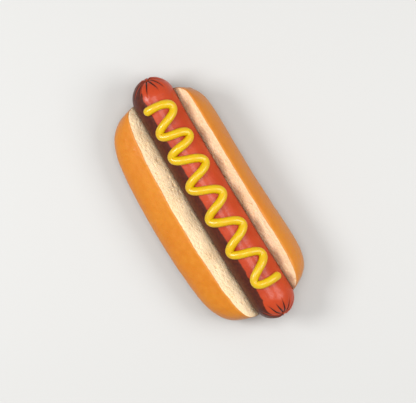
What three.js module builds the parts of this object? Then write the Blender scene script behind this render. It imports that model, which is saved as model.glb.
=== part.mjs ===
// A hot dog: a frankfurter in a soft bun that is slit along its top and opened, with mustard piped along it.
// Millimetres, +Z up. +X runs along the sausage. The shapes are worked out round the sausage's own axis, and
// the whole is then moved so that the origin is under its middle, on the surface that it stands on.
import * as THREE from "three";
import { LoftGeometry } from "three/addons/geometries/LoftGeometry.js";
import { mergeVertices } from "three/addons/utils/BufferGeometryUtils.js";

// ---- Driving dimensions ----

const SAUSAGE_DIAMETER = 26;
const SAUSAGE_LENGTH = 164;
const SAUSAGE_HEIGHT = 22.5; // of its axis above the surface that the bun stands on

// Each end is gathered: creases run back from the tip, round a small knot in a dimple.
const CREASES = 12;
const CREASE_DEPTH = 0.8;
const CREASE_LENGTHS = [9.5, 7.5, 10.5, 8]; // along the skin from the tip, used in turn
const DIMPLE = { depth: 1.4, width: 3 };
const KNOT_WIDTH = 1.2; // it stands as high as the dimple is deep

const BUN_LENGTH = 146;
const BUN_OFFSET = 1.4; // the bun's middle lies this far along +X from the sausage's
const SLIT_FLOOR = 9.2; // thickness of bread left under the slit
const SLIT_CLEARANCE = 0.3; // between the sausage and the bread round it
const SLIT_HUG = 80; // degrees from its underside that the bread clings to the sausage, on both sides

// The bun's two sides. The +Y side stands steeply, and the -Y side is wider and lies further open.
// - outline and cut: the side's outside and the cut's upper edge as seen from above, by their distance from the
//   sausage's axis. That is the width, changed along the bun by a taper towards +X and a swell towards both ends,
//   and rounded off at the -X and the +X end: the less square, the earlier, and the blunter, the fuller.
// - lean: of the cut face from upright, and slope: of the crust just outside its edge, in degrees.
// - widest: the height of the widest place, and foot: the part of the width that rests flat.
const RIGHT = {
  outline: { width: 29.2, taper: 0.046, swell: 0.085, square: [9.6, 7.9], blunt: [1.4, 1.6] },
  cut: { width: 20.9, taper: 0.033, swell: 0.034, square: [21, 7.5], blunt: [2.3, 3.9] },
  lean: 29,
  slope: 22,
  widest: 16,
  foot: 0.6,
};
const LEFT = {
  outline: { width: 39.8, taper: 0.004, swell: -0.124, square: [7.5, 7.5], blunt: [2.8, 2.8] },
  cut: { width: 24.4, taper: 0.023, swell: -0.17, square: [9.9, 8.1], blunt: [6.9, 7.5] },
  lean: 46.5,
  slope: 30,
  widest: 15,
  foot: 0.68,
};
const MEETING = 16; // how sharply the cut's edge turns to follow the outline where the two meet
const END_LIFT = 20; // length over which the underside curves up at each end
const MOUTH = { drop: 1.2, flare: 20 }; // the slit's floor falls away at the very ends, as the flare'th power

const BEAD_DIAMETER = 5.2;
const BEAD_LIFT = 1.5; // of the bead's centre line off the sausage's skin
const BEAD_CLEARANCE = 0.3; // under the bead, where it lies on the skin
const BEND_RADIUS = 2.9;
// Where the bead turns back, along the sausage: first on the +Y side, and then on each side in turn.
const BEAD_TURNS = [-58.9, -48.2, -40.4, -32.4, -21.5, -11.6, -0.4, 10.9, 22, 33.9, 43.9, 57.4];
const BEAD_REACH = 7.5; // how far each turn reaches from the middle of the sausage
const LAST_REACH = 4.5; // of the last turn
const BEAD_START = { x: -63.8, y: -8 };
const BEAD_END = { x: 59.7, y: 8 };

// ---- Fineness of the faceted surfaces ----

const COLUMNS_PER_CREASE = 6;
const DOME_RINGS = 9;
const BARREL_RINGS = 4;
const CAP_RINGS = 12;
const BODY_RINGS = 10;
const WALL_STEPS = 3;
const HOLLOW_STEPS = 6;
const CRUST_STEPS = 7;
const FOOT_STEPS = 2;
const BEAD_COLUMNS = 12;
const BEND_STEPS = 6;
const STROKE_STEPS = 5;
const BEAD_END_RINGS = 3;

const radius = SAUSAGE_DIAMETER / 2;

// Numbers from first to last, in equal steps.
const spaced = (first, last, steps) =>
  Array.from({ length: steps + 1 }, (_, i) => first + ((last - first) * i) / steps);

// A closed surface through rings of points. The first ring and the last are each drawn together into a point.
function closedLoft(rings) {
  const loft = new LoftGeometry(rings);
  const plain = new THREE.BufferGeometry().setAttribute("position", loft.getAttribute("position"));
  const merged = mergeVertices(plain.setIndex(loft.index), 1e-3);
  const corners = merged.index.array;
  const kept = [];
  for (let i = 0; i < corners.length; i += 3) {
    const [a, b, c] = corners.subarray(i, i + 3);
    if (a !== b && b !== c && c !== a) kept.push(a, b, c);
  }
  merged.setIndex(kept);
  merged.computeVertexNormals();
  return merged;
}

// ---- Sausage ----

// How far the skin is drawn in at an end: `away` is the distance along the skin from the tip, and `column` the
// place round it. Every crease runs along a column, and fades out at the knot and at its far end.
function gathering(away, column) {
  const crease = column / COLUMNS_PER_CREASE;
  const reach = CREASE_LENGTHS[crease % CREASE_LENGTHS.length];
  const fade = Math.max(0, 1 - away / reach) * Math.min(1, away / KNOT_WIDTH);
  const groove = Number.isInteger(crease) ? CREASE_DEPTH * fade : 0;
  const dimple = DIMPLE.depth * Math.exp(-((away / DIMPLE.width) ** 2));
  const knot = DIMPLE.depth * Math.exp(-((away / KNOT_WIDTH) ** 2));
  return groove + dimple - knot;
}

// A barrel with a half ball at each end. A ring is given by a centre on the axis, the side of it that the ring
// is on, and the ring's angle from the tip as seen from there, which is a right angle all along the barrel.
function makeSausage() {
  const columns = CREASES * COLUMNS_PER_CREASE;
  const half = SAUSAGE_LENGTH / 2 - radius;
  const angles = spaced(0, 1, DOME_RINGS).map((share) => (Math.PI / 2) * share ** 1.5);
  const rings = [
    ...angles.map((angle) => ({ centre: -half, side: -1, angle })),
    ...spaced(-half, half, BARREL_RINGS)
      .slice(1, -1)
      .map((centre) => ({ centre, side: 1, angle: Math.PI / 2 })),
    ...angles.reverse().map((angle) => ({ centre: half, side: 1, angle })),
  ];
  const sections = rings.map(({ centre, side, angle }) =>
    Array.from({ length: columns }, (_, column) => {
      const turn = (2 * Math.PI * column) / columns;
      const skin = radius - gathering(radius * angle, column);
      const x = centre + side * skin * Math.cos(angle);
      const out = skin * Math.sin(angle);
      return new THREE.Vector3(x, out * Math.cos(turn), SAUSAGE_HEIGHT + out * Math.sin(turn));
    }),
  );
  return closedLoft(sections);
}

// ---- Bun ----

const cubic = (points, steps) => new THREE.CubicBezierCurve(...points).getPoints(steps);

// The share of its width that a curve along the bun keeps at a place, from -1 at one end to 1 at the other.
function closing(place, curve) {
  const end = place < 0 ? 0 : 1;
  return (1 - Math.abs(place) ** curve.square[end]) ** (1 / curve.blunt[end]);
}

const distanceAt = (place, curve) =>
  curve.width * (1 + curve.taper * place + curve.swell * place ** 2) * closing(place, curve);

// The slit is a trough round the sausage whose walls run straight on at each side's lean.
const trough = radius + SLIT_CLEARANCE;
const troughCentre = SLIT_FLOOR + trough;
const tipHeight = SLIT_FLOOR - MOUTH.drop;
const clinging = THREE.MathUtils.degToRad(SLIT_HUG);
const wallStart = new THREE.Vector2(trough * Math.sin(clinging), troughCentre - trough * Math.cos(clinging));

// The slit's wall at a place along the bun, from the cut's upper edge down to the middle of the slit, as points
// of (distance, height).
function slitWall(edge, share, side) {
  const steepness = 1 / Math.tan(THREE.MathUtils.degToRad(side.lean));
  const reach = Math.min(edge, wallStart.x);
  const straight = spaced(edge, reach, WALL_STEPS).slice(0, -1);
  const hollow = spaced(Math.asin(reach / trough), 0, HOLLOW_STEPS).map((angle) => trough * Math.sin(angle));
  return [...straight, ...hollow].map((distance) => {
    const height =
      distance > wallStart.x
        ? wallStart.y + (distance - wallStart.x) * steepness
        : troughCentre - Math.sqrt(trough ** 2 - distance ** 2);
    return new THREE.Vector2(distance, height - MOUTH.drop * share ** MOUTH.flare);
  });
}

// The outline of one side at a place along the bun. It goes from the middle of the underside, round the crust and
// over the cut's upper edge, down to the middle of the slit. Its first coordinate is the distance from the
// middle, and its second the height. The cut's edge is the smaller of the two curves' distances, blended where
// they meet.
function sideOutline(place, side) {
  const share = Math.abs(place);
  const size = closing(place, side.outline);
  const width = distanceAt(place, side.outline);
  const rise = Math.max(0, 1 - ((1 - share) * BUN_LENGTH) / 2 / END_LIFT);
  const floor = tipHeight * (1 - Math.sqrt(1 - rise ** 2));
  const foot = side.foot * width;
  const widest = tipHeight + (side.widest - tipHeight) * size;
  const crestShare = distanceAt(place, side.cut) / Math.max(width, 1e-6);
  const edge = (width * crestShare) / (1 + crestShare ** MEETING) ** (1 / MEETING);
  const wall = slitWall(edge, share, side);
  const crest = wall[0];
  const shoulder = (width - crest.x) / 2;
  const drop = shoulder * Math.tan(THREE.MathUtils.degToRad(side.slope));
  const point = (x, y) => new THREE.Vector2(x, y);

  const lower = cubic(
    [
      point(foot, floor),
      point((foot + width) / 2, floor),
      point(width, (floor + widest) / 2),
      point(width, widest),
    ],
    CRUST_STEPS,
  );
  const upper = cubic(
    [
      point(width, widest),
      point(width, widest + (crest.y - widest) * 0.4),
      point(crest.x + shoulder, crest.y - drop),
      crest,
    ],
    CRUST_STEPS,
  );
  return [
    ...spaced(0, foot, FOOT_STEPS)
      .slice(0, -1)
      .map((distance) => point(distance, floor)),
    ...lower.slice(0, -1),
    ...upper.slice(0, -1),
    ...wall,
  ];
}

// Rings close together at the blunt ends, spaced by what is left of the width there, and evenly between.
function makeBun() {
  const { square, blunt } = LEFT.outline;
  const ends = spaced(0, 0.9, CAP_RINGS).map((size) => (1 - size ** blunt[1]) ** (1 / square[1]));
  const body = spaced(-ends[CAP_RINGS], ends[CAP_RINGS], BODY_RINGS).slice(1, -1);
  const places = [...ends.map((place) => -place), ...body, ...ends.reverse()];
  const sections = places.map((place) => {
    const x = BUN_OFFSET + (place * BUN_LENGTH) / 2;
    const right = sideOutline(place, RIGHT);
    const left = sideOutline(place, LEFT).reverse();
    return [
      ...right.map(({ x: y, y: z }) => new THREE.Vector3(x, y, z)),
      ...left.slice(1, -1).map(({ x: y, y: z }) => new THREE.Vector3(x, -y, z)),
    ];
  });
  return closedLoft(sections);
}

// ---- Mustard ----

// The line as seen from above: straight strokes that touch a round bend at each turn.
function beadLine() {
  const bends = BEAD_TURNS.map((x, i) => {
    const sign = i % 2 ? -1 : 1;
    const reach = i === BEAD_TURNS.length - 1 ? LAST_REACH : BEAD_REACH;
    return { x, y: sign * (reach - BEND_RADIUS), radius: BEND_RADIUS, sign };
  });
  const stops = [
    { ...BEAD_START, radius: 0, sign: -1 },
    ...bends,
    { ...BEAD_END, radius: 0, sign: 1 },
  ];
  // The heading of each stroke, which crosses from the outside of one stop to the outside of the next.
  const headings = stops.slice(1).map((to, i) => {
    const from = stops[i];
    const gap = Math.hypot(to.x - from.x, to.y - from.y);
    const along = Math.atan2(to.y - from.y, to.x - from.x);
    return along + to.sign * Math.asin((from.radius + to.radius) / gap);
  });
  const line = new THREE.CurvePath();
  let from = new THREE.Vector2(BEAD_START.x, BEAD_START.y);
  bends.forEach((bend, i) => {
    const side = (bend.sign * Math.PI) / 2;
    const arc = new THREE.EllipseCurve(
      bend.x,
      bend.y,
      bend.radius,
      bend.radius,
      headings[i] + side,
      headings[i + 1] + side,
      bend.sign > 0,
    );
    line.add(new THREE.LineCurve(from, arc.getPoint(0)));
    line.add(arc);
    from = arc.getPoint(1);
  });
  line.add(new THREE.LineCurve(from, new THREE.Vector2(BEAD_END.x, BEAD_END.y)));
  return line.curves.flatMap((curve, i) => {
    const points = curve.getPoints(curve.isEllipseCurve ? BEND_STEPS : STROKE_STEPS);
    return i ? points.slice(1) : points;
  });
}

// The line laid over the sausage with a round bead about it. A point that would sink into the skin is held
// off it.
function makeMustard() {
  const bead = BEAD_DIAMETER / 2;
  const lifted = radius + BEAD_LIFT;
  const line = beadLine().map(({ x, y }) => new THREE.Vector3(x, y, Math.sqrt(lifted ** 2 - y ** 2)));
  const last = line.length - 1;
  const rings = line.map((centre, i) => ({
    centre,
    heading: new THREE.Vector3().subVectors(line[Math.min(i + 1, last)], line[Math.max(i - 1, 0)]).normalize(),
    size: 1,
    shift: 0,
  }));
  const ends = spaced(0, 1, BEAD_END_RINGS).slice(0, -1);
  const roundedEnd = (ring, sign) =>
    ends.map((size) => ({ ...ring, size, shift: sign * bead * Math.sqrt(1 - size ** 2) }));
  const all = [...roundedEnd(rings[0], -1), ...rings, ...roundedEnd(rings[last], 1).reverse()];

  const sections = all.map(({ centre, heading, size, shift }) => {
    const off = new THREE.Vector3(0, centre.y, centre.z).normalize();
    const across = new THREE.Vector3().crossVectors(off, heading).normalize();
    const up = new THREE.Vector3().crossVectors(heading, across);
    return Array.from({ length: BEAD_COLUMNS }, (_, column) => {
      const turn = (2 * Math.PI * column) / BEAD_COLUMNS;
      const point = centre
        .clone()
        .addScaledVector(heading, shift)
        .addScaledVector(across, bead * size * Math.cos(turn))
        .addScaledVector(up, bead * size * Math.sin(turn));
      const away = Math.hypot(point.y, point.z);
      const held = Math.max(away, radius + BEAD_CLEARANCE) / away;
      return new THREE.Vector3(point.x, point.y * held, SAUSAGE_HEIGHT + point.z * held);
    });
  });
  return closedLoft(sections);
}

// ---- The whole ----

const hotDog = new THREE.Group();

function add(name, geometry, color, roughness) {
  const mesh = new THREE.Mesh(geometry, new THREE.MeshStandardMaterial({ color, roughness, metalness: 0 }));
  mesh.name = name;
  hotDog.add(mesh);
}

add("bun", makeBun(), 0xe49132, 0.6);
add("sausage", makeSausage(), 0xcf5334, 0.35);
add("mustard", makeMustard(), 0xf5cf20, 0.3);

const box = new THREE.Box3().setFromObject(hotDog);
const middle = box.getCenter(new THREE.Vector3());
hotDog.position.set(-middle.x, -middle.y, -box.min.z);

export default hotDog;
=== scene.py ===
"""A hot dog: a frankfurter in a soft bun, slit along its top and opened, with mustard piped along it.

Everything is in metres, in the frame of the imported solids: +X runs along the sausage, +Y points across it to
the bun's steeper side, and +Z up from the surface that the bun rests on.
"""

import math

import bmesh
import bpy
import numpy as np
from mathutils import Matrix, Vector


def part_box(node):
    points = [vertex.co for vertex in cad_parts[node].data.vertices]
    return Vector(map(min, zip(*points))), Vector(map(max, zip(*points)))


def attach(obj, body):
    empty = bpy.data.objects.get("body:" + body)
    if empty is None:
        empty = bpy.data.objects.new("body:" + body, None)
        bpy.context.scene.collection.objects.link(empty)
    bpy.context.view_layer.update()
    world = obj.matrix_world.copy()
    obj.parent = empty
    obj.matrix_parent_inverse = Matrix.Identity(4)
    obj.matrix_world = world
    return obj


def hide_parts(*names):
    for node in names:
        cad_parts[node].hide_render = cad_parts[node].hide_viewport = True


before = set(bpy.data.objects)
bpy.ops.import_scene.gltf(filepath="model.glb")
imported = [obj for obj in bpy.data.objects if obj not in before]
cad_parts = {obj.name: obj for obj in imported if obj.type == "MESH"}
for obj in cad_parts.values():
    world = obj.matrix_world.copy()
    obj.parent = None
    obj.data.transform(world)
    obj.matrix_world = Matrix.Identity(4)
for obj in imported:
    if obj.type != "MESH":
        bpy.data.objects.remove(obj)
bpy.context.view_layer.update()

MM = 0.001

# ---- Sizes, from the solids and as the baker, the butcher and the cook would give them ----

SAUSAGE_LOW, SAUSAGE_HIGH = (np.array(corner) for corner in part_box("sausage"))
BUN_LOW, BUN_HIGH = (np.array(corner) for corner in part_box("bun"))
# The sausage is a little fuller than its solid, so that it meets the bread and the mustard. At each end the
# sausage and the bun are a little longer, too.
FULLER = 0.12 * MM
SAUSAGE_LONGER = 0.3 * MM
BUN_LONGER = 0.5 * MM
MIDDLE = (SAUSAGE_LOW + SAUSAGE_HIGH) / 2
RADIUS = (SAUSAGE_HIGH[2] - SAUSAGE_LOW[2]) / 2 + FULLER
HALF_BARREL = (SAUSAGE_HIGH[0] - SAUSAGE_LOW[0]) / 2 + SAUSAGE_LONGER - RADIUS
HALF_BUN = (BUN_HIGH[0] - BUN_LOW[0]) / 2 + BUN_LONGER
BUN_MIDDLE = (BUN_HIGH[0] + BUN_LOW[0]) / 2
BOW = 0.9 * MM  # the sausage's ends curve this far towards +Y, measured where its barrel ends

# Each end of the sausage is gathered: creases run back from a knot in a dimple, a little above the tip.
# - at: the way to the knot from the middle of that end's half ball.
# - bearings and lengths: where each crease runs to, in degrees round the knot from +Y up towards +Z, and how
#   far it reaches along the skin, in millimetres.
# - dip: the angle by which the painted shade's upper edge has dropped down the flank at that tip.
KNOTS = {
    -1: {
        "at": np.array([-1, 0.124, 0.375]),
        "bearings": [14, 44, 68, 102, 131, 157, 190, 224, 252, 286, 317, 345],
        "lengths": [13, 16, 14.5, 15, 14, 16, 13, 15, 14, 16, 13, 15],
        "dip": math.radians(22),
    },
    1: {
        "at": np.array([1, 0.053, 0.342]),
        "bearings": [8, 38, 68, 93, 120, 153, 184, 214, 245, 274, 306, 338],
        "lengths": [14, 13, 14, 13.5, 16, 16, 13, 15, 13, 15, 16, 13],
        "dip": math.radians(55),
    },
}
CREASE_DEPTH = 0.75 * MM
CREASE_WIDTH = 0.52 * MM
CREASE_CROWDING = 0.15  # of its distance from the knot, the most that a crease is wide
CREASE_END_WIDTH = 0.4  # of its width, what a crease keeps where it has faded out
CREASE_SWAY = math.radians(3)
SWAY_LENGTH = 2.5 * MM
CREASE_SEED = 5
DIMPLE = {"depth": 1.2 * MM, "width": 2.6 * MM}
KNOT_WIDTH = 1.1 * MM  # it stands as high as the dimple is deep
# Painted shade darkens the sausage's -Y flank: it lies between two angles in radians, from the top of the
# sausage round that flank. Its lower edge is softer than its upper one, and nothing changes further than the
# limit from an edge.
FLANK_SHADE = {"from": 0.46, "to": 2.45, "softness": 4, "limit": 0.2, "dip_length": 22 * MM}

# The bun's two sides. The +Y side stands steeply, and the -Y side is wider and lies further open.
# - hand: the side's direction along y.
# - outline and cut: the side's outside and the cut's upper edge as seen from above, by their distance from
#   the sausage's axis. That is the width, changed along the bun by a taper towards +X and a swell towards
#   both ends, and rounded off at the -X and the +X end: the less square, the earlier, and the blunter, the
#   fuller.
# - lean: of the cut face from upright, and slope: of the crust just outside its edge.
# - widest: the height of the widest place, and foot: the part of the width that rests flat.
RIGHT = {
    "hand": 1,
    "outline": {
        "width": 29.2 * MM,
        "taper": 0.046,
        "swell": 0.085,
        "square": (9.6, 7.9),
        "blunt": (1.4, 1.6),
    },
    "cut": {
        "width": 20.9 * MM,
        "taper": 0.033,
        "swell": 0.034,
        "square": (21, 7.5),
        "blunt": (2.3, 3.9),
    },
    "lean": math.radians(29),
    "slope": math.radians(22),
    "widest": 16 * MM,
    "foot": 0.6,
}
LEFT = {
    "hand": -1,
    "outline": {
        "width": 39.8 * MM,
        "taper": 0.004,
        "swell": -0.124,
        "square": (7.5, 7.5),
        "blunt": (2.8, 2.8),
    },
    "cut": {
        "width": 24.4 * MM,
        "taper": 0.023,
        "swell": -0.17,
        "square": (9.9, 8.1),
        "blunt": (6.9, 7.5),
    },
    "lean": math.radians(46.5),
    "slope": math.radians(30),
    "widest": 15 * MM,
    "foot": 0.68,
}
MEETING = 16  # how sharply the cut's edge turns to follow the outline where the two meet
TROUGH = RADIUS + 0.05 * MM  # radius of the bread's hollow round the sausage
HUG = math.radians(80)  # the bread clings to the sausage this far round from its underside
CORNER = 9 * MM  # the radius of the bread's rounded corner there
MOUTH = {"drop": 1.2 * MM, "flare": 20}  # the slit falls away at the very ends, as the flare'th power
TIP_HEIGHT = MIDDLE[2] - TROUGH - MOUTH["drop"]  # of the bun's tips, where the slit's floor ends
END_LIFT = 20 * MM  # length over which the underside curves up at each end
UPRIGHT = 0.4  # how far up from its widest height towards the cut's edge the crust is drawn straight
TEAR_FADE = 8  # the power by which the cut edge's tears fade out down the crust
CRUST_THICKNESS = 1.0 * MM
THIN_TIP = {"share": 0.2, "from": 0.01, "to": 0.12}  # what is left of it at the tips, and where it comes back
RIM_DROP = 0.35 * MM  # of the inner edge of the crust's rim below the cut face
RIM_BAND = 0.04  # of the crust's outline, the part that is paler at its rim
BROWN_HEIGHT = 9 * MM  # from its paler foot, the crust gets browner up to here
CRUMB_INSET = 0.5 * MM  # of the bread's back in the crust
CRUMB_DROP = 0.15 * MM  # of the bread's back and of its cut edges, so that the crust covers them
CRUMB_SEEN = 0.9  # of the width over which the bread clings, how far in the cut face is drawn finely
PORE_DEPTH = 0.45 * MM  # the most, and where a pore's painted shade is full

# The mustard's bead, and its line from above: start, turns and end, in millimetres from the sausage's middle.
BEAD_RADIUS = 2.6 * MM
BEAD_LIFT = 1.5 * MM  # of the bead's centre line off the sausage's skin
BEAD_SINK = 0.12 * MM  # of the bead's underside into the skin
BEAD_START = (-64.1, -7.0)
BEAD_TURNS = [
    (-59.0, 7.3),
    (-48.1, -7.5),
    (-40.0, 7.8),
    (-32.5, -8.3),
    (-21.4, 7.9),
    (-11.6, -8.3),
    (-0.1, 7.3),
    (10.7, -8.0),
    (22.1, 7.9),
    (33.7, -7.6),
    (43.8, 8.6),
    (56.4, -4.3),
]
BEAD_END = (59.7, 9.0)
ROUNDNESS = {1: 5.9 * MM, -1: 5.1 * MM}  # of the turns on the +Y and the -Y flank
BEND_REACH = 0.9  # of a bend's radius, the most that the bead reaches inwards
BEND_BLEND = 6  # how sharply it is held back there

# Uneven surfaces, as layers of noise: each layer's height, the size of its waves and its seed.
SKIN_WAVES = [(0.16 * MM, 16 * MM, 11), (0.04 * MM, 3 * MM, 12)]
SKIN_FADE = 12 * MM  # length from each tip over which the skin's waves come in
EDGE_TEARS = [(0.22 * MM, 7 * MM, 21), (0.1 * MM, 1.8 * MM, 22)]
CRUST_LUMPS = [(0.3 * MM, 27 * MM, 31), (0.14 * MM, 8 * MM, 32)]
CRUST_WRINKLES = [(0.05 * MM, 1.7 * MM, 33)]
CRUST_GRAIN = [(0.03 * MM, 1.5 * MM, 34)]
WRINKLE_STRETCH = [0.3, 1, 1]  # the wrinkles run along the bun
CRUMB_WAVES = [(0.1 * MM, 1.1 * MM, 43), (0.25 * MM, 9 * MM, 44)]
BEAD_SWELLS = [(0.05, 7 * MM, 51)]  # by a share of the radius

# Bubbles: the size of the cells that they lie in, their radii as shares of it, and how deep they show.
BLISTERS = {"size": 11 * MM, "seed": 35, "smallest": 0.02, "largest": 0.16, "share": 0.25}
LARGE_PORES = {"size": 3.1 * MM, "seed": 41, "smallest": 0.05, "largest": 0.42, "share": 0.5}
SMALL_PORES = {"size": 1.5 * MM, "seed": 42, "smallest": 0.1, "largest": 0.5, "share": 0.55}

# Where relief comes in: over a share of the crust's outline from its rim, a height above the flat underside,
# a way from the cut's edge, and shares of the half length from the bun's tips.
CRUST_CALM = {"rim": 0.12, "tip": 0.01, "floor": 1.5 * MM}
CRUMB_CALM = {"edge": 1.2 * MM, "tip": 0.006}

# How fine the surfaces are.
SAUSAGE_COLUMNS = 216
DOME_ROWS = 81
BARREL_ROWS = 200
CRUST_STEP = 0.7 * MM
CRUST_COLUMNS = {"outside": 34, "inside": 6}
CRUMB_STEP = 0.5 * MM
CRUMB_COLUMNS = {"back": 6, "right": 48, "left": 56}
CRUMB_HIDDEN = [0.4, 0.3, 0.2, 0.1, 0]  # columns under the sausage, by shares of the edge's distance
PLACE_STEPS = 8000
RIGHT_COUNT = 0.6  # what the steeper side's width counts in spacing the places
BEAD_STEP = 0.45 * MM
BEAD_COLUMNS = 32
BEAD_END_ROWS = 8
CURVE_STEPS = 200


# ---- Randomness and relief ----

CELLS = 32  # along each side of a random lattice, which repeats after that


def smoothstep(share):
    """A share from 0 to 1 drawn level at both ends: its square, times 3 less twice the share."""
    return share * share * (3 - 2 * share)


def ease(value, low, high):
    """0 below low, 1 above high, and a smoothstep between."""
    return smoothstep(np.clip((value - low) / (high - low), 0, 1))


def noise(points, size, seed):
    """Smooth noise from -1 to 1: random values on a cubic lattice, blended between by a smoothstep."""
    table = np.random.default_rng(seed).uniform(-1, 1, (CELLS, CELLS, CELLS))
    place = points / size
    cell = np.floor(place).astype(int)
    part = smoothstep(place - cell)
    total = np.zeros(points.shape[:-1])
    for corner in np.ndindex(2, 2, 2):
        share = np.prod(np.where(corner, part, 1 - part), axis=-1)
        i, j, k = np.moveaxis((cell + corner) % CELLS, -1, 0)
        total += share * table[i, j, k]
    return total


def waves(points, layers):
    """Layers of noise added up, each by its height."""
    return sum(height * noise(points, size, seed) for height, size, seed in layers)


def bubbles(points, size, seed, smallest, largest, share):
    """How deep each point lies in a ball, of which each cell of a cubic lattice has one.

    A ball's middle and radius are random, and the radii are shares of the cell's size. The depth is a share
    of the height of the ball's surface above the point, which is the square root of the radius squared less
    the distance squared, and 0 outside every ball.
    """
    table = np.random.default_rng(seed).random((CELLS, CELLS, CELLS, 4))
    place = points / size
    cell = np.floor(place).astype(int)
    deepest = np.zeros(points.shape[:-1])
    for step in np.ndindex(3, 3, 3):
        near = cell + step - 1
        i, j, k = np.moveaxis(near % CELLS, -1, 0)
        draw = table[i, j, k]
        away = np.sum((place - near - draw[..., :3]) ** 2, axis=-1)
        radius = smallest + (largest - smallest) * draw[..., 3]
        deepest = np.maximum(deepest, np.sqrt(np.maximum(radius**2 - away, 0)))
    return share * deepest * size


def bow(x):
    """How far the sausage's axis lies towards +Y at x: a parabola about the middle."""
    return BOW * ((x - MIDDLE[0]) / HALF_BARREL) ** 2


def bezier(first, second, third, last, steps):
    """A cubic curve from the first point to the last, drawn towards the two between them.

    The four points are weighed by the terms of the cube of (1 - t) + t, as t goes from 0 to 1 in equal steps.
    """
    t = np.linspace(0, 1, steps + 1)[:, None]
    weights = (1 - t) ** 3, 3 * t * (1 - t) ** 2, 3 * t**2 * (1 - t), t**3
    points = (np.stack(np.broadcast_arrays(*p), axis=-1) for p in (first, second, third, last))
    return sum(weight * point for weight, point in zip(weights, points))


def outward(rings):
    """Unit normals of a surface of closed rings: the way round each ring crossed with the way to the next."""
    around = np.roll(rings, -1, axis=1) - np.roll(rings, 1, axis=1)
    normal = np.cross(around, np.gradient(rings, axis=0))
    return normal / np.maximum(np.linalg.norm(normal, axis=-1, keepdims=True), 1e-12)


# ---- Meshes ----


def closed_piece(name, rings, material, **values):
    """A closed surface through rings of points, whose first and last ring are each drawn together to a point.

    Each further value is a number for every point of the rings, kept as an attribute that the material reads.
    """
    rings = rings.copy()
    rings[[0, -1]] = rings[[0, -1]].mean(axis=1, keepdims=True)
    rows, columns = rings.shape[:2]
    index = np.arange(rows * columns).reshape(rows, columns)
    beside = np.roll(index, -1, axis=1)
    faces = np.stack([index[:-1], beside[:-1], beside[1:], index[1:]], axis=-1).reshape(-1, 4)
    mesh = bpy.data.meshes.new(name)
    mesh.from_pydata(rings.reshape(-1, 3), [], faces.tolist())
    for label, value in values.items():
        kept = mesh.attributes.new(label, "FLOAT", "POINT")
        kept.data.foreach_set("value", value.ravel().astype(np.float32))
    drawn = bmesh.new()
    drawn.from_mesh(mesh)
    drawn.verts.ensure_lookup_table()
    tips = drawn.verts[:columns] + drawn.verts[-columns:]
    bmesh.ops.remove_doubles(drawn, verts=tips, dist=1e-6)
    drawn.to_mesh(mesh)
    drawn.free()
    mesh.shade_smooth()
    mesh.materials.append(material)
    piece = bpy.data.objects.new(name, mesh)
    bpy.context.scene.collection.objects.link(piece)
    return piece


def stand_for(piece, node):
    """The piece rides on the hot dog's one body, in a node's place, whose solid is hidden."""
    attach(piece, "root")
    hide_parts(node)


# ---- Sausage ----


def barrel_and_domes():
    """A barrel with a half ball at each end, in rings from tip to tip.

    A point's distance along the skin from the nearer tip gives its ring: within a quarter turn of the ball it
    is on the dome, and past that on the barrel. The results are that distance, the place along x of the
    middle that the ring goes round, and the way that each point faces.
    """
    quarter = RADIUS * math.pi / 2
    dome = quarter * np.linspace(0, 1, DOME_ROWS)
    barrel = np.linspace(-HALF_BARREL, HALF_BARREL, BARREL_ROWS)[1:-1]
    away = np.concatenate([dome, quarter + HALF_BARREL - np.abs(barrel), dome[::-1]])[:, None]
    last = np.full(DOME_ROWS, HALF_BARREL)
    middle = np.concatenate([-last, barrel, last])[:, None]
    angle = np.minimum(away / RADIUS, math.pi / 2)
    turn = np.linspace(0, 2 * math.pi, SAUSAGE_COLUMNS, endpoint=False)[None, :]
    lengthways = np.sign(middle) * np.cos(angle) + 0 * turn
    facing = np.stack([lengthways, np.sin(angle) * np.cos(turn), np.sin(angle) * np.sin(turn)], axis=-1)
    return away, middle, facing


def creases(reach, bearing, knot, end):
    """How deep in a crease each point lies, from 0 to 1, by its reach from the knot and its bearing round it.

    A crease sways about its bearing by a sine of the reach. Along it, the depth is 1 less the cube of the
    share of its length that is run. Across it, the depth is a bell curve.
    """
    draw = np.random.default_rng(CREASE_SEED + end)
    sways = draw.uniform(-CREASE_SWAY, CREASE_SWAY, len(knot["bearings"]))
    deepest = np.zeros_like(reach)
    for degrees, length, sway in zip(knot["bearings"], knot["lengths"], sways):
        across = bearing - math.radians(degrees) - sway * np.sin(reach / SWAY_LENGTH)
        across = (across + math.pi) % (2 * math.pi) - math.pi
        fade = (1 - np.minimum(reach / (length * MM), 1) ** 3) * ease(reach, 0, KNOT_WIDTH)
        width = np.minimum(CREASE_WIDTH, CREASE_CROWDING * reach + 1e-6)
        width = width * (CREASE_END_WIDTH + (1 - CREASE_END_WIDTH) * fade)
        bell = np.exp(-((RADIUS * np.sin(reach / RADIUS) * across / width) ** 2))
        deepest = np.maximum(deepest, bell * fade)
    return deepest


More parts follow.
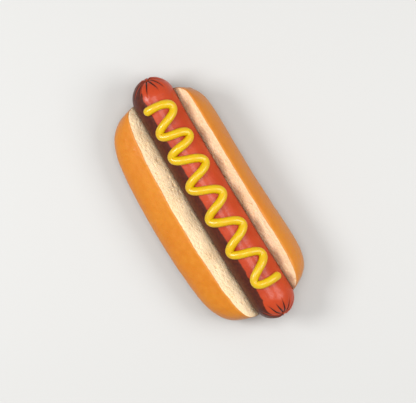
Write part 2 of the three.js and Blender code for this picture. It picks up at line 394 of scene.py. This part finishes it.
def make_sausage(material):
    """The sausage's skin: the barrel and its domes, gathered at both knots, uneven, and bowed towards +Y.

    On each half ball a point has a bearing round the knot and a reach from it over the ball. The creases draw
    the skin in there, and so does the dimple, a wide bell curve of the reach less a narrow one for the knot.
    The painted shade on the -Y flank is kept as the angle by which a point lies inside the nearer of its two
    edges.
    """
    away, middle, facing = barrel_and_domes()
    crease = np.zeros(facing.shape[:-1])
    sunk = np.zeros_like(crease)
    lateral = facing[..., 1:].copy()
    dip = np.zeros_like(away)
    for end, knot in KNOTS.items():
        dip[end * middle[:, 0] > 0] = knot["dip"]
        ball = end * middle[:, 0] >= HALF_BARREL
        toward = knot["at"] / np.linalg.norm(knot["at"])
        lateral[ball] -= facing[ball][..., :1] / toward[0] * toward[1:]
        reach = RADIUS * np.arccos(np.clip(facing[ball] @ toward, -1, 1))
        bearing = np.arctan2(lateral[ball][..., 1], lateral[ball][..., 0])
        crease[ball] = creases(reach, bearing, knot, end)
        dimple = np.exp(-((reach / DIMPLE["width"]) ** 2)) - np.exp(-((reach / KNOT_WIDTH) ** 2))
        sunk[ball] = CREASE_DEPTH * crease[ball] + DIMPLE["depth"] * dimple

    core = np.zeros_like(facing)
    core[..., 0] = middle
    uneven = waves(core + RADIUS * facing, SKIN_WAVES) * ease(away, 0, SKIN_FADE)
    skin = core + (RADIUS - sunk + uneven)[..., None] * facing + MIDDLE
    skin[..., 1] += bow(skin[..., 0])

    # Painted shade along the -Y flank: how far each point lies inside its edges, held within the limit.
    round_flank = np.arctan2(-lateral[..., 0], lateral[..., 1])
    upper = FLANK_SHADE["from"] + dip * np.clip(1 - away / FLANK_SHADE["dip_length"], 0, 1)
    sear = np.minimum(round_flank - upper, (FLANK_SHADE["to"] - round_flank) / FLANK_SHADE["softness"])
    sear = np.clip(sear, -FLANK_SHADE["limit"], FLANK_SHADE["limit"])
    piece = closed_piece("sausage_link", skin, material, crease=crease, sear=sear)
    stand_for(piece, "sausage")


# ---- Bun: a place along it goes from -1 at its -X tip to 1 at its +X tip ----


def slit_wall(distance, place, side):
    """Height of the slit's wall at a distance from the middle.

    It follows a circle round the bowed sausage as far as the bread clings to it, and runs on from there
    straight, at the side's lean. An arc that touches both, the circle from outside, rounds off the corner
    between them. Towards the bun's ends all of it falls away, as a power of the place.
    """
    distance = distance - side["hand"] * bow(BUN_MIDDLE + place * HALF_BUN)
    sine, cosine = math.sin(side["lean"]), math.cos(side["lean"])
    start = TROUGH * np.array([math.sin(HUG), -math.cos(HUG)])
    # The arc touches the wall at a run from its start. Its middle is as far from the sausage's axis as both
    # radii together, which makes a quadratic equation for the run.
    back = TROUGH * math.cos(HUG + side["lean"])
    run = back + math.sqrt(back**2 + 2 * CORNER * TROUGH * (1 - math.sin(HUG + side["lean"])))
    middle = start + run * np.array([sine, cosine]) + CORNER * np.array([cosine, -sine])
    hollow = -np.sqrt(np.maximum(TROUGH**2 - distance**2, 0))
    corner = middle[1] + np.sqrt(np.maximum(CORNER**2 - (distance - middle[0]) ** 2, 0))
    straight = start[1] + (distance - start[0]) * cosine / sine
    first, last = middle[0] * TROUGH / (TROUGH + CORNER), middle[0] - CORNER * cosine
    height = MIDDLE[2] + np.select([distance < first, distance < last], [hollow, corner], straight)
    return height - MOUTH["drop"] * np.abs(place) ** MOUTH["flare"]


def closing(place, curve):
    """The share of its width that a curve along the bun keeps at a place, which is 1 along most of it.

    It is 1 less the place's size to the power `square`, and of that the root `blunt`, as they are at its end.
    """
    square, blunt = (np.where(place < 0, *curve[trait]) for trait in ("square", "blunt"))
    return (1 - np.abs(place) ** square) ** (1 / blunt)


def half_width(place, curve):
    """A curve's distance from the middle at a place along the bun.

    It is the width, changed by the taper times the place and by the swell times its square, and closed.
    """
    return curve["width"] * (1 + curve["taper"] * place + curve["swell"] * place**2) * closing(place, curve)


def underside(place):
    """Height of the bun's underside: 0, and near each end a quarter of an ellipse, up to the tip's height."""
    rise = np.maximum(0, 1 - (1 - np.abs(place)) * HALF_BUN / END_LIFT)
    return TIP_HEIGHT * (1 - np.sqrt(1 - rise**2))


def cut_edge(place, side):
    """Distance of the cut's upper edge from the middle, before it is torn.

    It is the smaller of the cut's distance and the outline's, blended by a high power of their ratio.
    """
    outline = half_width(place, side["outline"])
    share = half_width(place, side["cut"]) / np.maximum(outline, 1e-9)
    return outline * share / (1 + share**MEETING) ** (1 / MEETING)


def tears(place, side):
    """How far the cut's upper edge is torn outwards at each place: noise, which is other on each side."""
    along = np.concatenate([place * HALF_BUN, 0 * place, 0 * place + side["lean"]], axis=1)
    return waves(along, EDGE_TEARS)[:, None] * closing(place, side["outline"])


def thinning(place):
    """The share of its thickness that the crust keeps at a place: it thins towards the bun's tips."""
    inwards = ease(1 - np.abs(place), THIN_TIP["from"], THIN_TIP["to"])
    return THIN_TIP["share"] + (1 - THIN_TIP["share"]) * inwards


def side_outline(place, side, columns, inset=0.0, sink=0.0):
    """One side of the bun's outline at each place, as (distance from the middle, height).

    It runs from the middle of the underside, flat to the foot, and up the crust in two cubic curves that meet
    at the widest height, to the cut's upper edge. A tear moves that edge up or down the slit's wall, and the
    crust with it, by a power of the way up the upper curve. The outline lies `inset` inside the crust, and
    its last point `sink` below the cut face. The second result is the edge's distance from the middle.
    """
    place = place[:, None]
    size = closing(place, side["outline"])
    sine, cosine = math.sin(side["lean"]), math.cos(side["lean"])
    depth = inset * thinning(place) * size
    width = half_width(place, side["outline"]) - depth
    floor = underside(place) + depth
    foot = side["foot"] * width
    widest = TIP_HEIGHT + (side["widest"] - TIP_HEIGHT) * size
    edge = np.maximum(cut_edge(place, side) - depth * sine, 0)
    top = slit_wall(edge, place, side) - sink * size * sine
    brim = edge + sink * size * cosine
    shoulder = (width - brim) / 2
    slope = shoulder * math.tan(side["slope"])

    flat = np.linspace(0, 1, columns // 2, endpoint=False) * foot
    flat = np.stack([flat, 0 * flat + floor], axis=-1)
    below, above = (floor + widest) / 2, widest + (top - widest) * UPRIGHT
    lower = bezier((foot, floor), ((foot + width) / 2, floor), (width, below), (width, widest), columns)
    upper = bezier((width, widest), (width, above), (brim + shoulder, top - slope), (brim, top), columns)
    torn = tears(place, side)
    climb = slit_wall(edge + torn, place, side) - slit_wall(edge, place, side)
    upper += np.stack([torn, climb], axis=-1) * np.linspace(0, 1, columns + 1)[:, None] ** TEAR_FADE
    return np.concatenate([flat, lower[:, :-1], upper], axis=1), edge + torn


def places(step):
    """Places along the bun, a step apart along its outline seen from above.

    The way is summed up over a dense row of places, closer together towards the tips by a cube. It is
    measured along both sides' outlines at once, with the steeper side's width counted for less.
    """
    dense = np.linspace(-1, 1, PLACE_STEPS + 1)
    dense = np.sign(dense) * (1 - (1 - np.abs(dense)) ** 3)
    left, right = (half_width(dense, side["outline"]) for side in (LEFT, RIGHT))
    outline = np.stack([dense * HALF_BUN, left, RIGHT_COUNT * right], axis=-1)
    run = np.concatenate([[0], np.cumsum(np.linalg.norm(np.diff(outline, axis=0), axis=1))])
    return np.interp(np.linspace(0, run[-1], int(run[-1] / step)), run, dense)


def placed(place, outline, inset, side):
    """An outline of one side as points in the hot dog's frame."""
    x = BUN_MIDDLE + (place * (HALF_BUN - inset * thinning(place)))[:, None] + 0 * outline[..., 0]
    y = MIDDLE[1] + side["hand"] * outline[..., 0]
    return np.stack([x, y, outline[..., 1]], axis=-1)


def make_crust(material):
    """The bun's baked skin: a shell, open along the slit, whose rim dips a little behind the cut's edge.

    Lumps, wrinkles, grain and blisters move it along its normals. They fade out towards its rim, its tips and
    its flat underside, and the inside has none.
    """
    place = places(CRUST_STEP)
    sides = []
    for side in (RIGHT, LEFT):
        outer, _ = side_outline(place, side, CRUST_COLUMNS["outside"])
        inner, _ = side_outline(place, side, CRUST_COLUMNS["inside"], CRUST_THICKNESS, RIM_DROP)
        sides.append((placed(place, outer, 0, side), placed(place, inner, CRUST_THICKNESS, side)))
    (right, right_in), (left, left_in) = sides
    rings = np.concatenate([right, right_in[:, ::-1], left_in[:, 1:], left[:, :0:-1]], axis=1)

    below_rim = np.zeros(rings.shape[:2])
    below_rim[:, : right.shape[1]] = np.linspace(1, 0, right.shape[1])
    below_rim[:, -left.shape[1] + 1 :] = np.linspace(0, 1, left.shape[1])[1:]
    from_tip = (1 - np.abs(place))[:, None]
    share = ease(below_rim, 0, CRUST_CALM["rim"]) * ease(from_tip, 0, CRUST_CALM["tip"])
    share *= ease(rings[..., 2], 0, CRUST_CALM["floor"])
    lumps = waves(rings, CRUST_LUMPS)
    wrinkles = waves(rings * WRINKLE_STRETCH, CRUST_WRINKLES) + waves(rings, CRUST_GRAIN)
    relief = (lumps + wrinkles + bubbles(rings, **BLISTERS)) * share
    rings = rings + outward(rings) * relief[..., None]
    bake = ease(rings[..., 2], 0, BROWN_HEIGHT)
    rim = 1 - ease(below_rim, 0, RIM_BAND)
    piece = closed_piece("bun_crust", rings, material, bake=bake, rim=rim)
    stand_for(piece, "bun")


def make_crumb(material):
    """The bread inside the crust, its cut faces opened by bubbles of two sizes and roughened between them.

    Each face is fine from its edge down to where the sausage hides it, and coarse from there to the middle.
    Its relief comes in over a short way from the edge, and the bread behind the crust has none.
    """
    place = places(CRUMB_STEP)
    hidden = TROUGH * math.sin(HUG) * CRUMB_SEEN
    walls, backs = [], []
    for side, columns in ((RIGHT, CRUMB_COLUMNS["right"]), (LEFT, CRUMB_COLUMNS["left"])):
        back, edge = side_outline(place, side, CRUMB_COLUMNS["back"], CRUMB_INSET)
        seen = np.linspace(1, hidden / side["cut"]["width"], columns)
        distance = edge * np.concatenate([seen, CRUMB_HIDDEN])
        wall = np.stack([distance, slit_wall(distance, place[:, None], side)], axis=-1)
        walls.append(placed(place, wall, CRUMB_INSET, side))
        backs.append(placed(place, back, CRUMB_INSET, side))
    (right, left), (right_back, left_back) = walls, backs
    rings = np.concatenate([right_back, right[:, 1:], left[:, -2::-1], left_back[:, -2:0:-1]], axis=1)

    first = right_back.shape[1] - 1
    faces = slice(first, first + right.shape[1] + left.shape[1] - 1)
    run = np.cumsum(np.linalg.norm(np.diff(rings[:, faces], axis=1), axis=-1), axis=1)
    run = np.pad(run, [(0, 0), (1, 0)])
    cut = np.zeros(rings.shape[:2])
    cut[:, faces] = ease(np.minimum(run, run[:, -1:] - run), 0, CRUMB_CALM["edge"])
    cut *= ease(1 - np.abs(place)[:, None], 0, CRUMB_CALM["tip"])
    large = np.minimum(bubbles(rings, **LARGE_PORES), PORE_DEPTH)
    hollow = np.maximum(large, bubbles(rings, **SMALL_PORES))
    sunk = (hollow - waves(rings, CRUMB_WAVES)) * cut + CRUMB_DROP * (1 - cut)
    rings = rings - outward(rings) * sunk[..., None]
    # How deep each point lies in a pore, which the material paints as shade.
    piece = closed_piece("bun_crumb", rings, material, pore=hollow * cut / PORE_DEPTH)
    stand_for(piece, "bun")


# ---- Mustard ----


def bead_line():
    """The mustard's line seen from above, as points in equal steps: a cubic curve from each stop to the next.

    At each turn the line runs along the sausage, and the longer its curves hold on to that way, the rounder
    it is.
    """
    x, y = np.array([BEAD_START, *BEAD_TURNS, BEAD_END]).T[:, :, None] * MM
    hold = np.where(y > 0, ROUNDNESS[1], ROUNDNESS[-1])
    hold[[0, -1]] = 0
    ahead, back = (x + hold)[:-1], (x - hold)[1:]
    curves = bezier((x[:-1], y[:-1]), (ahead, y[:-1]), (back, y[1:]), (x[1:], y[1:]), CURVE_STEPS)
    curves = curves.reshape(-1, 2)
    run = np.concatenate([[0], np.cumsum(np.hypot(*np.diff(curves, axis=0).T))])
    even = np.linspace(0, run[-1], int(run[-1] / BEAD_STEP))
    return np.stack([np.interp(even, run, curves[:, 0]), np.interp(even, run, curves[:, 1])], axis=-1)


def make_mustard(material):
    """A round bead along the line, laid over the sausage with its underside pressed onto the skin.

    Each ring is a circle across the line's heading, and the ends close as half balls. Inside a bend that is
    tighter than the bead is thick, the ring's points stop short of the bend's middle. A point that would lie
    in the sausage is moved out from the sausage's axis to just under the skin.
    """
    line = bead_line()
    height = np.sqrt((RADIUS + BEAD_LIFT) ** 2 - line[:, 1] ** 2)
    centre = np.column_stack([line, height])
    heading = np.gradient(centre, axis=0)
    pace = np.linalg.norm(heading, axis=1, keepdims=True)
    heading /= pace
    bend = np.gradient(heading, axis=0) / pace
    rounds = np.linspace(0, math.pi / 2, BEAD_END_ROWS + 1)[:-1]
    size = np.concatenate([np.sin(rounds), np.ones(len(line)), np.sin(rounds[::-1])])[:, None]
    shift = np.concatenate([-np.cos(rounds), np.zeros(len(line)), np.cos(rounds[::-1])])[:, None]
    rows = np.concatenate([[0] * BEAD_END_ROWS, np.arange(len(line)), [-1] * BEAD_END_ROWS])
    centre, heading, bend = centre[rows], heading[rows], bend[rows]

    off = centre * [0, 1, 1]
    off /= np.linalg.norm(off, axis=1, keepdims=True)
    across = np.cross(off, heading)
    across /= np.linalg.norm(across, axis=1, keepdims=True)
    up = np.cross(heading, across)
    turn = np.linspace(0, 2 * math.pi, BEAD_COLUMNS, endpoint=False)[None, :, None]
    radius = (BEAD_RADIUS * (1 + waves(centre, BEAD_SWELLS)[:, None]) * size)[:, None]
    offset = radius * (np.cos(turn) * across[:, None] + np.sin(turn) * up[:, None])

    inward = np.sum(offset * bend[:, None], axis=-1, keepdims=True)
    held = inward / (1 + (np.maximum(inward, 0) / BEND_REACH) ** BEND_BLEND) ** (1 / BEND_BLEND)
    offset += (held - inward) * bend[:, None] / np.maximum(np.sum(bend**2, axis=1), 1)[:, None, None]
    rings = (centre + BEAD_RADIUS * shift * heading)[:, None] + offset
    away = np.hypot(rings[..., 1], rings[..., 2])
    rings[..., 1:] *= (np.maximum(away, RADIUS - BEAD_SINK) / away)[..., None]
    rings += MIDDLE
    rings[..., 1] += bow(rings[..., 0])
    piece = closed_piece("mustard_bead", rings, material)
    stand_for(piece, "mustard")


# ---- Shader nodes ----


def srgb(red, green, blue):
    """A colour given as it shows on a screen, from 0 to 255, as the linear RGBA that shaders take."""
    shown = np.array([red, green, blue]) / 255
    linear = np.where(shown <= 0.04045, shown / 12.92, ((shown + 0.055) / 1.055) ** 2.4)
    return (*linear, 1)


def add(tree, kind, inputs=(), **settings):
    """A node of this kind with these settings. Each input is a value, or the socket that feeds it."""
    made = tree.nodes.new(kind)
    for label, value in settings.items():
        setattr(made, label, value)
    for label, value in dict(inputs).items():
        if isinstance(value, bpy.types.NodeSocket):
            tree.links.new(value, made.inputs[label])
        else:
            made.inputs[label].default_value = value
    return made


def mix(tree, share, first, second):
    """The first colour changed into the second by a share. Inputs 6 and 7 and output 2 are the colours'."""
    return add(tree, "ShaderNodeMix", {0: share, 6: first, 7: second}, data_type="RGBA").outputs[2]


def calc(tree, operation, first, second):
    """A sum on two numbers."""
    return add(tree, "ShaderNodeMath", {0: first, 1: second}, operation=operation).outputs[0]


def tint(tree, colour, mask, share, other):
    """A colour changed into another by a share of what the mask says."""
    return mix(tree, calc(tree, "MULTIPLY", mask, share), colour, other)


def fit(tree, value, low, high, first=0.0, last=1.0):
    """A number's way from low to high, made a way from first to last, and held between them."""
    inputs = {"Value": value, "From Min": low, "From Max": high, "To Min": first, "To Max": last}
    return add(tree, "ShaderNodeMapRange", inputs, interpolation_type="SMOOTHSTEP").outputs["Result"]


def new_group(name, inputs, output):
    """An empty node group that reads coordinates and numbers and puts out one number."""
    tree = bpy.data.node_groups.new(name, "ShaderNodeTree")
    tree.interface.new_socket("Coordinates", in_out="INPUT", socket_type="NodeSocketVector")
    for label, value in inputs.items():
        tree.interface.new_socket(label, in_out="INPUT", socket_type="NodeSocketFloat").default_value = value
    tree.interface.new_socket(output, in_out="OUTPUT", socket_type="NodeSocketFloat")
    return tree, tree.nodes.new("NodeGroupInput").outputs, tree.nodes.new("NodeGroupOutput").inputs[output]


def make_mottle():
    """Soft patches of a given size in metres: noise, spread about its middle so that it runs from 0 to 1."""
    tree, given, result = new_group("mottle", {"Size": 0.01, "Roughness": 0.5, "Contrast": 2}, "Mask")
    scale = calc(tree, "DIVIDE", 1.0, given["Size"])
    inputs = {"Vector": given["Coordinates"], "Scale": scale, "Detail": 4.0, "Roughness": given["Roughness"]}
    cloud = add(tree, "ShaderNodeTexNoise", inputs).outputs[0]
    spread = calc(tree, "MULTIPLY", calc(tree, "SUBTRACT", cloud, 0.5), given["Contrast"])
    tree.links.new(fit(tree, spread, -0.5, 0.5), result)
    return tree


def make_pores():
    """Small round hollows: 1 at the middle of a cell of this size in metres, and 0 past a share of it."""
    tree, given, result = new_group("pores", {"Size": 0.001, "Share": 0.45}, "Mask")
    scale = calc(tree, "DIVIDE", 1.0, given["Size"])
    inputs = {"Vector": given["Coordinates"], "Scale": scale}
    away = add(tree, "ShaderNodeTexVoronoi", inputs).outputs["Distance"]
    tree.links.new(fit(tree, away, 0.05, given["Share"], 1.0, 0.0), result)
    return tree


MOTTLE = make_mottle()
PORES = make_pores()


def place_group(tree, group, coordinates, **inputs):
    """A node group placed in a material with its own values."""
    placed_group = add(tree, "ShaderNodeGroup", node_tree=group)
    tree.links.new(coordinates, placed_group.inputs["Coordinates"])
    for label, value in inputs.items():
        placed_group.inputs[label].default_value = value
    return placed_group.outputs["Mask"]


def bump(tree, height, depth, under=None):
    """A normal that is tilted as if the surface rose by depth in metres where height is 1."""
    made = add(tree, "ShaderNodeBump", {"Height": height, "Distance": depth, "Strength": 1.0})
    if under is not None:
        tree.links.new(under, made.inputs["Normal"])
    return made.outputs["Normal"]


def attribute(tree, name):
    """The number that a piece keeps for each of its points under this name."""
    return add(tree, "ShaderNodeAttribute", attribute_name=name).outputs["Fac"]


def new_material(name, **values):
    """A material with one Principled shader and its plain values, and the object's coordinates for it."""
    material = bpy.data.materials.new(name)
    material.use_nodes = True
    tree = material.node_tree
    shader = tree.nodes["Principled BSDF"]
    for label, value in values.items():
        shader.inputs[label.replace("_", " ")].default_value = value
    return material, tree, shader, add(tree, "ShaderNodeTexCoord").outputs["Object"]


# ---- Finishes ----


def baked_crust():
    """Golden brown, deeper in soft patches, paler near the foot and at the cut, with a faint sheen."""
    material, tree, shader, here = new_material(
        "baked_crust",
        Specular_IOR_Level=0.3,
        Coat_Weight=0.12,
        Coat_Roughness=0.22,
        Subsurface_Weight=0.08,
        Subsurface_Scale=0.002,
    )
    broad = place_group(tree, MOTTLE, here, Size=0.024, Contrast=2.2)
    fine = place_group(tree, MOTTLE, here, Size=0.0035, Contrast=2.5)
    specks = place_group(tree, PORES, here, Size=0.0034, Share=0.16)
    colour = mix(tree, attribute(tree, "bake"), srgb(194, 133, 50), srgb(183, 109, 8))
    colour = tint(tree, colour, broad, 0.35, srgb(178, 92, 10))
    colour = tint(tree, colour, fine, 0.14, srgb(208, 142, 44))
    colour = tint(tree, colour, specks, 0.2, srgb(150, 76, 12))
    colour = tint(tree, colour, attribute(tree, "rim"), 0.3, srgb(206, 148, 74))
    tree.links.new(colour, shader.inputs["Base Color"])
    tree.links.new(fit(tree, fine, 0, 1, 0.38, 0.5), shader.inputs["Roughness"])
    wrinkles = place_group(tree, MOTTLE, here, Size=0.0012, Roughness=0.65, Contrast=1.5)
    tree.links.new(bump(tree, wrinkles, 0.0001, bump(tree, specks, -0.00006)), shader.inputs["Normal"])
    return material


def cut_crumb():
    """Cream, with painted shade that is warmer and darker down in the pores, matt and finely open."""
    material, tree, shader, here = new_material(
        "cut_crumb",
        Roughness=0.88,
        Specular_IOR_Level=0.3,
        Subsurface_Weight=0.3,
        Subsurface_Scale=0.002,
        Subsurface_Radius=(1.0, 0.85, 0.65),
    )
    broad = place_group(tree, MOTTLE, here, Size=0.016, Contrast=2)
    open_pores = place_group(tree, PORES, here, Size=0.0009, Share=0.5)
    colour = mix(tree, broad, srgb(239, 214, 177), srgb(237, 206, 163))
    # Painted shade down in the pores, by their depth and in the small round hollows that the bump sinks.
    colour = tint(tree, colour, attribute(tree, "pore"), 0.4, srgb(224, 185, 134))
    colour = tint(tree, colour, open_pores, 0.2, srgb(220, 183, 136))
    tree.links.new(colour, shader.inputs["Base Color"])
    tufts = place_group(tree, MOTTLE, here, Size=0.0008, Roughness=0.7, Contrast=2)
    tree.links.new(bump(tree, tufts, 0.00012, bump(tree, open_pores, -0.0002)), shader.inputs["Normal"])
    return material


def sausage_skin():
    """Red-brown and moist, with painted shade in its creases, and painted shade near-black along one flank
    except down in them.
    """
    material, tree, shader, here = new_material(
        "sausage_skin",
        Specular_IOR_Level=0.2,
        Coat_Weight=0.12,
        Coat_Roughness=0.12,
        Subsurface_Weight=0.06,
        Subsurface_Scale=0.002,
    )
    # The edge of the painted shade along the flank, made ragged by patches of three sizes.
    edge = attribute(tree, "sear")
    for size, reach in ((0.012, 0.07), (0.0032, 0.05), (0.0009, 0.03)):
        blotch = place_group(tree, MOTTLE, here, Size=size, Contrast=1.8)
        edge = calc(tree, "ADD", edge, calc(tree, "MULTIPLY", calc(tree, "SUBTRACT", blotch, 0.5), reach))
    sear = fit(tree, edge, -0.03, 0.03)
    broad = place_group(tree, MOTTLE, here, Size=0.013, Contrast=2)
    fine = place_group(tree, MOTTLE, here, Size=0.0018, Contrast=2)
    specks = place_group(tree, PORES, here, Size=0.0026, Share=0.3)
    colour = mix(tree, broad, srgb(168, 60, 26), srgb(156, 50, 20))
    colour = tint(tree, colour, specks, 0.25, srgb(126, 36, 16))
    # The near-black of the painted shade on the -Y flank.
    seared = mix(tree, fine, srgb(58, 16, 6), srgb(77, 27, 10))
    fold = attribute(tree, "crease")
    # The flank's painted shade stops down in the creases.
    colour = tint(tree, colour, sear, fit(tree, fold, 0.15, 0.5, 1.0, 0.0), seared)
    # Painted shade down in the creases: near-black on the red skin, and a darker red inside the flank's
    # painted shade.
    crease_shade = mix(tree, sear, srgb(46, 16, 10), srgb(128, 40, 18))
    colour = mix(tree, fit(tree, fold, 0.1, 0.7), colour, crease_shade)
    tree.links.new(colour, shader.inputs["Base Color"])
    tree.links.new(fit(tree, sear, 0, 1, 0.32, 0.42), shader.inputs["Roughness"])
    tree.links.new(bump(tree, fine, 0.00005, bump(tree, specks, -0.00005)), shader.inputs["Normal"])
    return material


def wet_mustard():
    """Bright yellow, smooth and wet, with the faintest grain."""
    material, tree, shader, here = new_material(
        "wet_mustard",
        Specular_IOR_Level=0.3,
        Coat_Weight=0.25,
        Coat_Roughness=0.12,
        Subsurface_Weight=0.25,
        Subsurface_Scale=0.0015,
    )
    broad = place_group(tree, MOTTLE, here, Size=0.006, Contrast=1.6)
    grain = place_group(tree, PORES, here, Size=0.0007, Share=0.3)
    colour = mix(tree, broad, srgb(192, 159, 0), srgb(187, 150, 0))
    colour = tint(tree, colour, grain, 0.2, srgb(166, 126, 0))
    tree.links.new(colour, shader.inputs["Base Color"])
    tree.links.new(fit(tree, broad, 0, 1, 0.26, 0.36), shader.inputs["Roughness"])
    tree.links.new(bump(tree, grain, -0.00004), shader.inputs["Normal"])
    return material


# ---- Floor, lights and camera ----

IMAGE_WIDTH = 416
IMAGE_MIDDLE_PIXEL = np.array([208, 201.5])
SAUSAGE_MIDDLE_PIXEL = np.array([211.8, 198.5])
METRES_PER_PIXEL = 0.6 * MM
SLANT = math.radians(59.13)  # the sausage's run across the image, down from the level
LENS = 400
SENSOR = 36
FLOOR_HALF = 3.0


def make_floor():
    """A wide level sheet, which isn't part of the hot dog."""
    mesh = bpy.data.meshes.new("floor")
    corners = [(x * FLOOR_HALF, y * FLOOR_HALF, 0) for x, y in ((-1, -1), (1, -1), (1, 1), (-1, 1))]
    mesh.from_pydata(corners, [], [(0, 1, 2, 3)])
    material, _, shader, _ = new_material("pale_floor", Roughness=0.9)
    shader.inputs["Base Color"].default_value = srgb(178, 178, 177)
    mesh.materials.append(material)
    floor = bpy.data.objects.new("floor", mesh)
    bpy.context.scene.collection.objects.link(floor)


def make_light(name, place, size, power):
    """A square soft light that faces the hot dog."""
    light = bpy.data.lights.new(name, "AREA")
    light.size = size
    light.energy = power
    lamp = bpy.data.objects.new(name, light)
    bpy.context.scene.collection.objects.link(lamp)
    lamp.location = place
    aim = MIDDLE - np.array(place)
    tilt = math.atan2(math.hypot(aim[0], aim[1]), -aim[2])
    lamp.rotation_euler = (tilt, 0, math.atan2(aim[0], -aim[1]) + math.pi)


def make_camera():
    """Straight above, turned so that the sausage runs down to the right, with its middle at its own pixel."""
    camera = bpy.data.cameras.new("camera")
    camera.lens = LENS
    camera.sensor_width = SENSOR
    viewer = bpy.data.objects.new("camera", camera)
    bpy.context.scene.collection.objects.link(viewer)
    rightwards = np.array([math.cos(SLANT), math.sin(SLANT), 0])
    upwards = np.array([-math.sin(SLANT), math.cos(SLANT), 0])
    offset = (SAUSAGE_MIDDLE_PIXEL - IMAGE_MIDDLE_PIXEL) * METRES_PER_PIXEL
    distance = LENS / SENSOR * IMAGE_WIDTH * METRES_PER_PIXEL
    viewer.location = MIDDLE - offset[0] * rightwards + offset[1] * upwards + [0, 0, distance]
    viewer.rotation_euler = (0, 0, SLANT)
    bpy.context.scene.camera = viewer


def make_studio():
    """A pale floor and sky, the main light on the wide side, a larger one opposite, and one overhead."""
    make_floor()
    make_light("key", place=(-0.3, -0.45, 0.65), size=0.3, power=5.0)
    make_light("fill", place=(0.25, 0.5, 0.65), size=0.45, power=4.4)
    make_light("top", place=(0.0, 0.0, 0.95), size=0.4, power=3.6)
    world = bpy.data.worlds.new("studio")
    world.use_nodes = True
    sky = world.node_tree.nodes["Background"].inputs
    sky["Color"].default_value = srgb(242, 240, 236)
    sky["Strength"].default_value = 0.65
    bpy.context.scene.world = world
    bpy.context.scene.view_settings.view_transform = "Standard"


make_studio()
make_camera()
make_crust(baked_crust())
make_crumb(cut_crumb())
make_sausage(sausage_skin())
make_mustard(wet_mustard())
